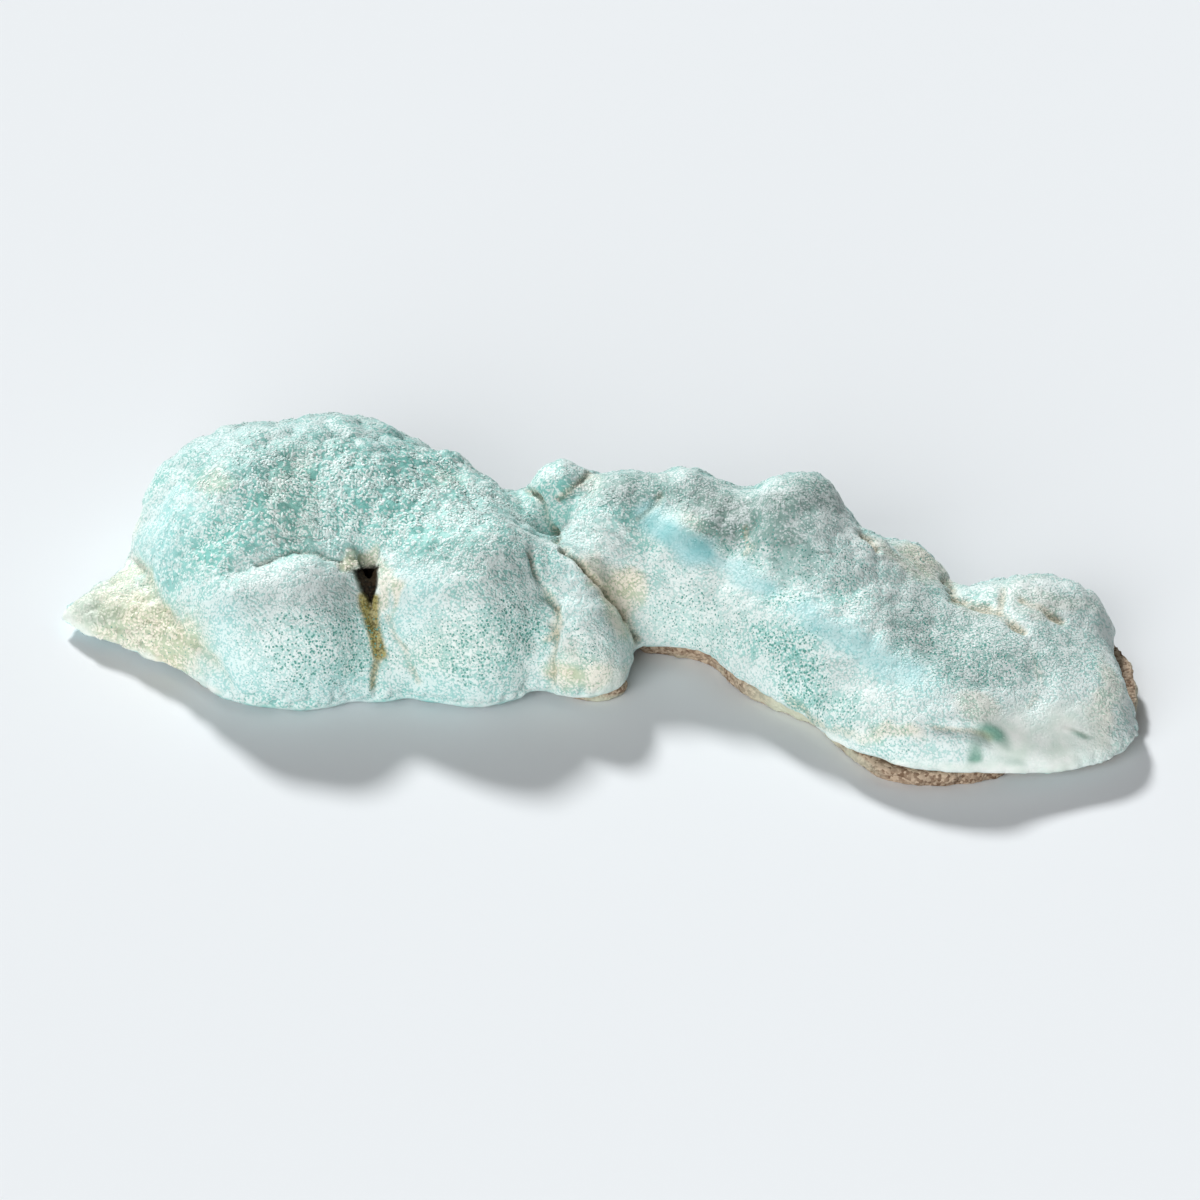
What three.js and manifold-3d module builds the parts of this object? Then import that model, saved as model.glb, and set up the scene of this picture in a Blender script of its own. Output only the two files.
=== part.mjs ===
// Blue aragonite specimen: a lobed crust of pale blue aragonite, grown on a thin plate of brown host rock.
//
// Two lobes of the crust meet in a deep crack. The left one is a broad dome with three front bulges and a
// low apron at its outer end. The right one is a long ridge that comes forward as it runs out to the right,
// with knobs along its back edge. The rock shows below the crust's front edge and at its right end.
//
// Millimetres. +X runs along the specimen's length, +Y to its back, +Z up. The finished specimen stands on
// z = 0, centred over the origin.
import * as THREE from "three";
import { mergeVertices } from "three/addons/utils/BufferGeometryUtils.js";
import { ImprovedNoise } from "three/addons/math/ImprovedNoise.js";
import Module from "manifold-3d";

const wasm = await Module();
wasm.setup();

// Driving dimensions
const LENGTH = 200; // over all, along X
const GAP = 0.3; // left between crust and rock, so that the two solids never share a face
const CRUST_CELL = 3.05; // grid step of the crust's faceted surface
const ROCK_CELL = 5; // grid step of the rock's surface
const CONTACT_CELL = 6; // grid step of the surface where crust and rock meet
const GROWTH_SPACING = 9; // distance between the small rounded growths on the crust
const GROWTH_HEIGHT = 1.0; // how far such a growth stands out on the fronts of the lobes
const GROWTH_HEIGHT_ON_TOP = 1.9; // and on their upper sides
const SWELL = 1.5; // height of the slow, broad unevenness
const SWELL_LENGTH = 15; // and the length over which it rises and falls
const ROCK_ROUGHNESS = 0.9; // height of the rock's broken bumps
const CRUST_THICKEST = 36; // no part of the specimen is taller than this

const FORM_BOTTOM = -5; // the forms run on to here below the floor before they are cut
const ROCK_TOP = 12; // the rock's form ends here, well above where it meets the crust

const CRUST_COLOUR = 0xbdd8d4;
const ROCK_COLOUR = 0x8f735a;

// The crust's lobes, in the order in which they are joined. Each is an ellipsoid: its centre, its half
// sizes, how far it is turned about Z and tipped about its own Y, in degrees, and how softly it runs into
// the ones before it, in mm. A small blend leaves a crease.
const LEFT_LOBES = [
  { name: "dome", at: [-53, 42, 4], half: [33, 31, 27], turn: 0, tip: 0, blend: 0 },
  { name: "dome_left_shoulder", at: [-67, 38, 8], half: [20, 25, 22], turn: 0, tip: 0, blend: 8 },
  { name: "dome_right_shoulder", at: [-25, 35.5, 5.5], half: [14, 21.5, 19], turn: 0, tip: 0, blend: 5 },
  { name: "dome_back_bump", at: [-50, 52, 23.5], half: [6, 6, 7], turn: 0, tip: 0, blend: 2 },
  { name: "dome_rim_bump", at: [-31, 48, 20], half: [5, 5, 7], turn: 0, tip: 0, blend: 2 },
  { name: "dome_corner_bump", at: [-80, 44, 15.5], half: [6, 8, 8], turn: 0, tip: 0, blend: 3 },
  { name: "front_bulge_left", at: [-59.5, 15, 6], half: [21, 17, 19.5], turn: -15, tip: 0, blend: 4 },
  { name: "front_bulge_middle", at: [-26, 18, 6], half: [18, 19, 21], turn: 0, tip: 0, blend: 9 },
  { name: "front_bulge_between", at: [-41, 13, 3], half: [8, 13, 13], turn: 0, tip: 0, blend: 0.8 },
  { name: "front_bulge_outer", at: [-18.5, 16, 5], half: [10, 16, 18], turn: -12, tip: 0, blend: 6 },
  { name: "front_bulge_right", at: [-4, 9.5, 4.5], half: [10.2, 10.5, 14], turn: -10, tip: 0, blend: 0.8 },
  { name: "front_bulge_right_tail", at: [-7, 20, 7], half: [8, 13, 15.5], turn: 24, tip: 0, blend: 3 },
  { name: "apron", at: [-80.5, 24.2, 2], half: [15.6, 11, 9], turn: -42, tip: 0, blend: 1 },
  { name: "apron_back", at: [-87, 29, 2], half: [10, 10, 8], turn: 0, tip: 0, blend: 3 },
  { name: "apron_tip", at: [-95.8, 26, 2.6], half: [7.2, 5.2, 3.8], turn: 0, tip: 0, blend: 5 },
  { name: "dome_back_foot", at: [-52, 61, 1], half: [27, 15, 13], turn: 6, tip: 0, blend: 4 },
  { name: "left_plate", at: [-14, 34, -1], half: [30, 22, 11], turn: 0, tip: 0, blend: 2 },
];
const RIGHT_LOBES = [
  { name: "ridge", at: [38, 9, 5], half: [42, 12.5, 16], turn: -42, tip: 7, blend: 0 },
  { name: "ridge_head", at: [15, 28, 7], half: [13, 12, 17.5], turn: -30, tip: 0, blend: 4 },
  { name: "ridge_belly", at: [39, 8.5, 3], half: [26, 12, 11], turn: -47, tip: 5, blend: 5 },
  { name: "back_shelf", at: [47, 14, 4], half: [27, 20, 16], turn: -30, tip: 5, blend: 4 },
  { name: "back_knob_high", at: [34, 29, 8], half: [11, 19, 22.5], turn: 0, tip: 0, blend: 5 },
  { name: "back_knob_high_right", at: [39.5, 28, 8], half: [7.6, 17.5, 21.5], turn: 0, tip: 0, blend: 4 },
  { name: "back_knob_shoulder", at: [47, 26, 5], half: [12, 14, 14], turn: 0, tip: 0, blend: 3 },
  { name: "back_slope", at: [45, 20, 8], half: [12, 13, 16.5], turn: -20, tip: 0, blend: 4 },
  { name: "head_front", at: [9, 24, 5], half: [9.5, 10.5, 14], turn: -20, tip: 0, blend: 4 },
  { name: "head_back", at: [15, 38.5, 8], half: [13, 14, 18.5], turn: 0, tip: 0, blend: 1.5 },
  { name: "head_top", at: [4, 39, 7.5], half: [11, 13, 18], turn: 0, tip: 0, blend: 2 },
  { name: "head_inner", at: [23, 33, 9], half: [10, 12, 17], turn: 0, tip: 0, blend: 3 },
  { name: "head_bulge", at: [2, 31, 8], half: [11, 12, 17.5], turn: -35, tip: 0, blend: 4 },
  { name: "waist", at: [-2, 32, 3], half: [12, 19, 15], turn: 0, tip: 0, blend: 1 },
  { name: "right_plate", at: [55, 12, -2], half: [46, 18, 11], turn: -28, tip: 0, blend: 2 },
  { name: "head_knob_left", at: [-7.5, 41.5, 9.5], half: [9, 10, 17.5], turn: 0, tip: 0, blend: 0.8 },
  { name: "back_knob_low", at: [57, 27, 4], half: [10, 11, 13], turn: 0, tip: 0, blend: 1.2 },
  { name: "back_saddle", at: [71, 18, 3], half: [9, 11, 11.5], turn: 0, tip: 0, blend: 1.2 },
  { name: "back_knob_right", at: [79, 18, 4.5], half: [10, 11, 12], turn: 0, tip: 0, blend: 2.5 },
  { name: "back_knob_end", at: [87.5, 15.5, 3], half: [7.5, 11, 11.5], turn: 0, tip: 0, blend: 3 },
  { name: "right_shelf", at: [82, 5, 3], half: [13, 12, 11], turn: -10, tip: 0, blend: 3 },
  { name: "right_end", at: [85, -4, 1], half: [14, 16, 11.5], turn: 0, tip: 0, blend: 3 },
  { name: "right_foot", at: [80, -14.5, 0], half: [17, 10, 9.5], turn: 6, tip: 0, blend: 4 },
  { name: "right_top", at: [70, 1, 3], half: [20, 15, 13], turn: -30, tip: 4, blend: 5 },
  { name: "ridge_foot", at: [58, -11.5, 3], half: [21, 12.5, 12], turn: -22, tip: 0, blend: 3 },
  { name: "ridge_foot_left", at: [15, 20.5, 2], half: [8, 7.5, 8], turn: -30, tip: 0, blend: 2 },
];
const CRACK_BLEND = 0.8; // the two halves meet almost unblended, in the crack

// Grooves in the crust: their line over the surface, radius and how soft their lips are.
const GROOVES = [
  { name: "seam_below_pit", line: [[-44, 17, 25], [-42.5, 5, 18], [-42.2, 1.5, 10]], radius: 1.6, lip: 2.5 },
  { name: "rim_above_bulge", line: [[-68, 13, 22], [-64, 14, 24], [-56, 18, 25], [-47, 16, 25]], radius: 1.5, lip: 2.5 },
];

// The open pit between the dome and its two front bulges, down to the rock.
const PIT_AT = [-43.5, 17];
const PIT_HALF_WIDTH = 2.0;
const PIT_HALF_LENGTH = 3.4;
const PIT_FLOOR = 7;
const PIT_FLARE = 1.35; // how much wider the pit is at its mouth than at its floor

// Heights of the surface on which the crust grew: x, y and height over the floor.
const CONTACT_HEIGHTS = [
  [-92, 28, 1.6], [-72, 6, 0.6], [-45, 0, 0.2], [-18, 1, 0.6], [3, 3, 3.2], [12, 15, 3.6],
  [30, -1, 3.6], [44, -14, 2.8], [56, -24, 4.4], [70, -25, 2.8], [88, -22, 1.4], [98, -8, 3.4],
  [97, 8, 6.5], [-60, 34, 6], [-28, 34, 6.5], [0, 34, 7], [34, 16, 6.5], [66, 4, 6],
  [-45, 72, 3], [-8, 56, 4], [40, 52, 4], [90, 30, 4],
];
const CONTACT_REACH = 13; // mm over which one of these heights gives way to the next

// How far the rock stays back from the crust's outline, and where it comes out further than that.
const ROCK_INSET = 3.4;
const ROCK_LEDGES = [
  { at: [55, -21], reach: 10, out: 5 },
  { at: [97, 9], reach: 7, out: 6.5 },
  { at: [98, -10], reach: 8, out: 3.0 },
  { at: [4, 3], reach: 5, out: 3.6 },
  { at: [24, 5], reach: 12, out: 2.9 },
  { at: [-73, 7], reach: 6, out: 3.2 },
];
const ROCK_OUTLINE_HEIGHT = 3; // the crust's outline at this height sets the rock's

const noise = new ImprovedNoise();

// Smooth minimum of two distances: they run into each other over k mm.
function softMin(a, b, k) {
  if (k <= 0) return Math.min(a, b);
  const h = Math.max(k - Math.abs(a - b), 0) / k;
  return Math.min(a, b) - (h * h * k) / 4;
}

function softMax(a, b, k) {
  return -softMin(-a, -b, k);
}

// A repeatable number from 0 to 1 for each whole-number place and channel.
function scatter(i, j, k, channel) {
  const s = Math.sin(i * 127.1 + j * 311.7 + k * 74.7 + channel * 53.3) * 43758.5453;
  return s - Math.floor(s);
}

// Rounded growths: 1 on the top of the nearest one, falling to 0 in the valleys between them.
function growths(x, y, z, spacing) {
  const cx = Math.floor(x / spacing);
  const cy = Math.floor(y / spacing);
  const cz = Math.floor(z / spacing);
  let nearest = Infinity;
  for (let i = cx - 1; i <= cx + 1; i++)
    for (let j = cy - 1; j <= cy + 1; j++)
      for (let k = cz - 1; k <= cz + 1; k++) {
        const dx = (i + scatter(i, j, k, 0)) * spacing - x;
        const dy = (j + scatter(i, j, k, 1)) * spacing - y;
        const dz = (k + scatter(i, j, k, 2)) * spacing - z;
        nearest = Math.min(nearest, dx * dx + dy * dy + dz * dz);
      }
  return Math.max(0, 1 - nearest / (spacing * spacing));
}

// Turns a lobe's description into a function that gives the distance to it.
function lobeDistance({ at, half, turn, tip }) {
  const inverse = new THREE.Matrix4()
    .makeTranslation(...at)
    .multiply(new THREE.Matrix4().makeRotationZ(THREE.MathUtils.degToRad(turn)))
    .multiply(new THREE.Matrix4().makeRotationY(THREE.MathUtils.degToRad(tip)))
    .invert();
  const p = new THREE.Vector3();
  return (x, y, z) => {
    p.set(x, y, z).applyMatrix4(inverse);
    const k0 = Math.hypot(p.x / half[0], p.y / half[1], p.z / half[2]);
    const k1 = Math.hypot(p.x / half[0] ** 2, p.y / half[1] ** 2, p.z / half[2] ** 2);
    return k1 < 1e-9 ? -Math.min(...half) : (k0 * (k0 - 1)) / k1;
  };
}

function joinedLobes(lobes) {
  const parts = lobes.map((lobe) => ({ distance: lobeDistance(lobe), blend: lobe.blend }));
  return (x, y, z) => {
    let d = Infinity;
    for (const { distance, blend } of parts) {
      const next = distance(x, y, z);
      d = d === Infinity ? next : softMin(d, next, blend);
    }
    return d;
  };
}

// Distance from a point to a line of straight stretches.
function lineDistance(line) {
  const points = line.map((at) => new THREE.Vector3(...at));
  const stretches = points.slice(1).map((end, i) => new THREE.Line3(points[i], end));
  const p = new THREE.Vector3();
  const q = new THREE.Vector3();
  return (x, y, z) => {
    p.set(x, y, z);
    return Math.min(...stretches.map((s) => s.closestPointToPoint(p, true, q).distanceTo(p)));
  };
}

const leftDistance = joinedLobes(LEFT_LOBES);
const rightDistance = joinedLobes(RIGHT_LOBES);
const grooves = GROOVES.map((g) => ({ ...g, distance: lineDistance(g.line) }));

// The whole form of the crust, without its underside.
function smoothForm(x, y, z) {
  return softMin(leftDistance(x, y, z), rightDistance(x, y, z), CRACK_BLEND);
}

function crustForm(x, y, z) {
  let d = smoothForm(x, y, z);
  if (Math.abs(d) < 3 * GROWTH_HEIGHT_ON_TOP) {
    const onTop = THREE.MathUtils.smoothstep(z + 0.35 * y, 12, 26);
    const height = THREE.MathUtils.lerp(GROWTH_HEIGHT, GROWTH_HEIGHT_ON_TOP, onTop);
    d -= height * (growths(x, y, z, GROWTH_SPACING) - 0.6);
    d -= SWELL * noise.noise(x / SWELL_LENGTH, y / SWELL_LENGTH, z / SWELL_LENGTH);
  }
  for (const g of grooves) d = softMax(d, g.radius - g.distance(x, y, z), g.lip);
  return Math.max(d, FORM_BOTTOM - z);
}

// Height of the surface on which the crust grew.
function contactHeight(x, y) {
  let sum = 0;
  let weights = 0;
  for (const [px, py, h] of CONTACT_HEIGHTS) {
    const w = Math.exp(-((x - px) ** 2 + (y - py) ** 2) / (2 * CONTACT_REACH ** 2)) + 1e-9;
    sum += w * h;
    weights += w;
  }
  return sum / weights + 0.5 * noise.noise(x / 11, y / 11, 4.5);
}

function rockForm(x, y, z) {
  let inset = ROCK_INSET;
  for (const { at, reach, out } of ROCK_LEDGES)
    inset -= out * Math.exp(-((x - at[0]) ** 2 + (y - at[1]) ** 2) / (2 * reach ** 2));
  const side = smoothForm(x, y, ROCK_OUTLINE_HEIGHT) + inset;
  const undercut = 0.35 * Math.max(0, ROCK_OUTLINE_HEIGHT - z); // its sides draw in towards the floor
  const broken = side + undercut + ROCK_ROUGHNESS * noise.noise(x / 6, y / 6, z / 6 + 9.5);
  return Math.max(broken, FORM_BOTTOM - z, z - ROCK_TOP);
}

// Where only diagonal corners of a grid face are inside, the surface would touch itself along an edge. The
// corner nearer to the surface is moved out, until no such face is left.
function separateDiagonals(values, stride, cell) {
  let moved = true;
  while (moved) {
    moved = false;
    for (let axis = 0; axis < 3; axis++) {
      const u = stride[(axis + 1) % 3];
      const v = stride[(axis + 2) % 3];
      for (let a = 0; a + u + v < values.length; a++) {
        const [b, c, d] = [a + u, a + u + v, a + v];
        const [ia, ib, ic, id] = [a, b, c, d].map((corner) => values[corner] < 0);
        if (ia !== ic || ib !== id || ia === ib) continue;
        const [p, q] = ia ? [a, c] : [b, d];
        values[values[p] > values[q] ? p : q] = 0.01 * cell;
        moved = true;
      }
    }
  }
}

// Closed faceted surface where distance is 0, with one vertex in each cell that the surface crosses and one
// quad across each crossed grid edge.
function surfaceOf(distance, low, high, cell) {
  const n = [0, 1, 2].map((a) => Math.ceil((high[a] - low[a]) / cell) + 2);
  const stride = [1, n[0], n[0] * n[1]];
  const values = new Float64Array(n[0] * n[1] * n[2]);
  const place = (a, i) => low[a] + (i - 0.5) * cell;
  for (let k = 0; k < n[2]; k++)
    for (let j = 0; j < n[1]; j++)
      for (let i = 0; i < n[0]; i++)
        values[i + j * stride[1] + k * stride[2]] = distance(place(0, i), place(1, j), place(2, k));
  separateDiagonals(values, stride, cell);

  const vertexOf = new Int32Array(values.length).fill(-1);
  const vertices = [];
  for (let k = 0; k < n[2] - 1; k++)
    for (let j = 0; j < n[1] - 1; j++)
      for (let i = 0; i < n[0] - 1; i++) {
        const corner = i + j * stride[1] + k * stride[2];
        const sum = [0, 0, 0];
        let crossings = 0;
        for (let axis = 0; axis < 3; axis++)
          for (let side = 0; side < 4; side++) {
            const at = [0, 0, 0];
            at[(axis + 1) % 3] = side & 1;
            at[(axis + 2) % 3] = side >> 1;
            const from = corner + at[0] + at[1] * stride[1] + at[2] * stride[2];
            const a = values[from];
            const b = values[from + stride[axis]];
            if (a < 0 === b < 0) continue;
            at[axis] = a / (a - b);
            at.forEach((share, axisOf) => (sum[axisOf] += share));
            crossings++;
          }
        if (!crossings) continue;
        vertexOf[corner] = vertices.length / 3;
        for (const [axis, index] of [i, j, k].entries())
          vertices.push(place(axis, index) + (sum[axis] / crossings) * cell);
      }

  const point = (v) => new THREE.Vector3().fromArray(vertices, 3 * v);
  const triangles = [];
  for (let k = 1; k < n[2] - 1; k++)
    for (let j = 1; j < n[1] - 1; j++)
      for (let i = 1; i < n[0] - 1; i++) {
        const corner = i + j * stride[1] + k * stride[2];
        for (let axis = 0; axis < 3; axis++) {
          const inside = values[corner] < 0;
          if (inside === values[corner + stride[axis]] < 0) continue;
          const u = stride[(axis + 1) % 3];
          const v = stride[(axis + 2) % 3];
          const quad = [corner, corner - u, corner - u - v, corner - v].map((c) => vertexOf[c]);
          if (!inside) quad.reverse();
          const [a, b, c, d] = quad;
          const acrossShorter = point(a).distanceTo(point(c)) < point(b).distanceTo(point(d));
          triangles.push(...(acrossShorter ? [a, b, c, a, c, d] : [a, b, d, b, c, d]));
        }
      }
  return new THREE.BufferGeometry()
    .setAttribute("position", new THREE.Float32BufferAttribute(vertices, 3))
    .setIndex(triangles);
}

// A three.js geometry as a solid that can be joined and cut, and back.
function solidOf(geometry) {
  geometry.deleteAttribute("normal");
  geometry.deleteAttribute("uv");
  const merged = mergeVertices(geometry, 1e-4);
  const mesh = new wasm.Mesh({
    numProp: 3,
    vertProperties: new Float32Array(merged.attributes.position.array),
    triVerts: new Uint32Array(merged.index.array),
  });
  return new wasm.Manifold(mesh);
}

function geometryOf(solid) {
  const mesh = solid.getMesh();
  return new THREE.BufferGeometry()
    .setAttribute("position", new THREE.Float32BufferAttribute(mesh.vertProperties, 3))
    .setIndex(new THREE.BufferAttribute(mesh.triVerts, 1));
}

// A solid box with one corner low and the opposite one high.
function boxBetween(low, high) {
  const size = high.map((h, a) => h - low[a]);
  return new THREE.BoxGeometry(...size).translate(...low.map((l, a) => l + size[a] / 2));
}

const LOW = [-LENGTH / 2 - 8, -34, -8];
const HIGH = [LENGTH / 2 + 8, 84, CRUST_THICKEST + 4];

// Everything under the surface on which the crust grew, lowered by drop.
function groundBelow(drop) {
  const width = HIGH[0] - LOW[0];
  const depth = HIGH[1] - LOW[1];
  const bottom = LOW[2] - 10;
  const block = new THREE.BoxGeometry(
    width, depth, 1, Math.round(width / CONTACT_CELL), Math.round(depth / CONTACT_CELL), 1,
  ).translate(LOW[0] + width / 2, LOW[1] + depth / 2, 0);
  const position = block.attributes.position;
  for (let i = 0; i < position.count; i++) {
    const top = position.getZ(i) > 0;
    const height = Math.max(contactHeight(position.getX(i), position.getY(i)), 0) - drop;
    position.setZ(i, top ? height : bottom);
  }
  return solidOf(block);
}

// The pit: a wedge-shaped hole, wider at its back, that flares towards its mouth.
function pit() {
  const [w, l] = [PIT_HALF_WIDTH, PIT_HALF_LENGTH];
  const outline = new THREE.Shape([
    new THREE.Vector2(-w, l), new THREE.Vector2(-0.5 * w, -0.3 * l), new THREE.Vector2(0, -l),
    new THREE.Vector2(0.6 * w, -0.3 * l), new THREE.Vector2(w, l),
  ]);
  const depth = CRUST_THICKEST;
  const hole = new THREE.ExtrudeGeometry(outline, { depth, bevelEnabled: false, steps: 4 });
  const position = hole.attributes.position;
  for (let i = 0; i < position.count; i++) {
    const flare = 1 + (PIT_FLARE - 1) * (position.getZ(i) / depth);
    position.setXY(i, position.getX(i) * flare, position.getY(i) * flare);
  }
  return solidOf(hole.translate(PIT_AT[0], PIT_AT[1], PIT_FLOOR));
}

// The aragonite crust: the lobes, cut open underneath along the surface on which they grew.
function aragoniteCrust() {
  return solidOf(surfaceOf(crustForm, LOW, HIGH, CRUST_CELL))
    .subtract(groundBelow(0))
    .subtract(pit());
}

// The host rock: a broken slab under the crust, with a flat face on the floor.
function hostRock() {
  const aboveFloor = solidOf(boxBetween([LOW[0], LOW[1], 0], HIGH));
  return solidOf(surfaceOf(rockForm, LOW, [HIGH[0], HIGH[1], ROCK_TOP + 2], ROCK_CELL))
    .intersect(groundBelow(GAP))
    .intersect(aboveFloor);
}

function largestPiece(solid) {
  return solid.decompose().sort((a, b) => b.volume() - a.volume())[0];
}

function namedMesh(name, solid, colour, roughness) {
  const material = new THREE.MeshStandardMaterial({ color: colour, roughness, metalness: 0 });
  const mesh = new THREE.Mesh(geometryOf(solid), material);
  mesh.name = name;
  return mesh;
}

const specimen = new THREE.Group();
specimen.add(
  namedMesh("aragonite_crust", largestPiece(aragoniteCrust()), CRUST_COLOUR, 0.6),
  namedMesh("host_rock", largestPiece(hostRock()), ROCK_COLOUR, 0.95),
);

// Stand the specimen over the origin.
const extent = new THREE.Box3().setFromObject(specimen, true);
const middle = extent.getCenter(new THREE.Vector3());
specimen.children.forEach((mesh) => mesh.geometry.translate(-middle.x, -middle.y, -extent.min.z));

export default specimen;
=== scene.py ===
"""Blue aragonite specimen: a granular blue crust on a thin plate of brown host rock.

The crust is one grown piece. Its surface is a close-meshed skin with the specimen's lumps, warts and seams,
and about twelve thousand small crystal flakes stand on it. The rock is a sandy, broken slab below.
Lengths are in metres, +Z is up, and the specimen rests on z = 0.
"""
import math

import bpy
import numpy as np
from bpy.props import FloatProperty, FloatVectorProperty, IntProperty, PointerProperty
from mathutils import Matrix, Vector


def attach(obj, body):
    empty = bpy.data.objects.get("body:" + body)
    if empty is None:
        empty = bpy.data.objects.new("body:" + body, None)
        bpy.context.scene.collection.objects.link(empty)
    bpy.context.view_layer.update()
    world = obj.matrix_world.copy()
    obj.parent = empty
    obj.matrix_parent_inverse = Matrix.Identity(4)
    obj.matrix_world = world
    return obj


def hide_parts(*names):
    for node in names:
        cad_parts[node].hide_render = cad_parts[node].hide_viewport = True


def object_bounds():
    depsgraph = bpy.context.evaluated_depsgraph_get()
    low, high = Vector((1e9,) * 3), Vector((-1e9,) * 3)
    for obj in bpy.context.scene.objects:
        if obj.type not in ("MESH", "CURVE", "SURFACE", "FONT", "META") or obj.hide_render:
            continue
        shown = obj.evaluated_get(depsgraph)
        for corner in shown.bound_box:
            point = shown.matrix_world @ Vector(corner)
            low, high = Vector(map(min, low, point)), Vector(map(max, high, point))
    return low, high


bl_info = {
    "name": "Blue aragonite",
    "version": (1, 0, 0),
    "blender": (4, 5, 0),
    "location": "View3D > Sidebar > Aragonite",
    "description": "Builds a specimen of blue aragonite on its host rock",
    "category": "Object",
}

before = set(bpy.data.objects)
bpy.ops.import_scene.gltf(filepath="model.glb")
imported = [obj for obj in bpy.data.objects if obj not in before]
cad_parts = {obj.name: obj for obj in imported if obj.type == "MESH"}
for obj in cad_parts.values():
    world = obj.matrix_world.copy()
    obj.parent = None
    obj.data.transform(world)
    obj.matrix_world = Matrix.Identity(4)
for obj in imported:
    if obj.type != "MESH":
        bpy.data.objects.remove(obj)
CAD_LOW, CAD_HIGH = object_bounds()

MM = 0.001

# Rounds of smoothing that take the steps out of the close meshes made from the CAD forms.
CRUST_SMOOTHING = 45
ROCK_SMOOTHING = 10
# Where a mesh is thinned, by the height of its normal, and the share of all its faces that is then left:
# the underside of the crust, and the top and bottom of the rock.
UNDERSIDE_LIMIT = -0.55
CRUST_KEPT = 0.69
FLAT_LIMIT = 0.8
ROCK_KEPT = 0.45

# Spacing of the bumps in the crust's relief, from the largest down, and on its lower edge.
LUMP_SPACING = 5 * MM
WART_SPACING = 2.6 * MM
GRANULE_SPACING = 1.3 * MM
RAGGED_SPACING = 2.1 * MM
# Spacing of the large and the small bumps on the rock's broken side.
BREAK_SPACING = 3.8 * MM
CHIP_SPACING = 1.3 * MM

# Real sizes of the skin's pattern. The cells are the ends of the crystal flakes, coarse on the dome and
# fine elsewhere, the grain makes their edges rough, and in the clouds they stand close or apart.
COARSE_CELL = 0.9 * MM
FINE_CELL = 0.5 * MM
CELL_GRAIN = 0.4 * MM
CELL_BEND = 0.8 * MM
CLOUD = 3 * MM
# Spacing of the open pores, and how far noise bends them out of round.
LARGE_PORE_SPACING = 1.3 * MM
SMALL_PORE_SPACING = 0.65 * MM
PORE_BEND = 0.4 * MM
# How many times smaller than its spacing a large pore is, against a small one.
LARGE_PORE_SHRINK = 1.8

# The photo, a square of pixels, and how its camera saw the specimen.
PHOTO_SIZE = 1200
PIXEL = 200 * MM / 1078
CAMERA_DISTANCE = 1.3
CAMERA_ELEVATION = math.radians(35)
SENSOR_WIDTH = 36
AIM = Vector((0.0008, CAD_LOW.y + 0.0434, 0.012))
TO_CAMERA = Vector((0, -math.cos(CAMERA_ELEVATION), math.sin(CAMERA_ELEVATION)))
UP_IN_PHOTO = Vector((0, math.sin(CAMERA_ELEVATION), math.cos(CAMERA_ELEVATION)))


def linear(code):
    """An sRGB hex colour, such as "#BFD8D4", as linear red, green and blue."""
    channels = [int(code[i:i + 2], 16) / 255 for i in (1, 3, 5)]
    return [c / 12.92 if c <= 0.04045 else ((c + 0.055) / 1.055) ** 2.4 for c in channels]


# Colour zones of the crust: its pale flakes, and the ground that shows between them.
ZONE_COLOURS = {
    "pale": ("#E9F4F2", "#AED7D2"),
    "teal": ("#E9F7F4", "#5ABDB2"),
    "cyan": ("#E6F8F6", "#93D3D0"),
    "blue": ("#A9E0E4", "#67BBBF"),
    "white": ("#F1FAF7", "#C2E1DC"),
    # Grey tone; on the tops and on the back of the ridge its darker ground is in part painted shade.
    "grey": ("#C4CECD", "#66897F"),
    "cream": ("#FBF3E2", "#BDC9A8"),
    "mint": ("#F5FAF5", "#DDEBE1"),
    "green": ("#86B4A2", "#3D7868"),
    "ochre": ("#CDB27C", "#7E6431"),
    "olive": ("#AAA162", "#665E2A"),
    # A darker teal; where it is put on the sides that turn backwards it is painted shade.
    "deep": ("#BBD0CD", "#6AA7A1"),
    # Painted shade, put into the seams.
    "shade": ("#A9AB96", "#515E4D"),
    # The pit's brown, darkened near to black: in part its own colour, in part painted shade in the hollow.
    "pit": ("#54422F", "#1C140D"),
}
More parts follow.
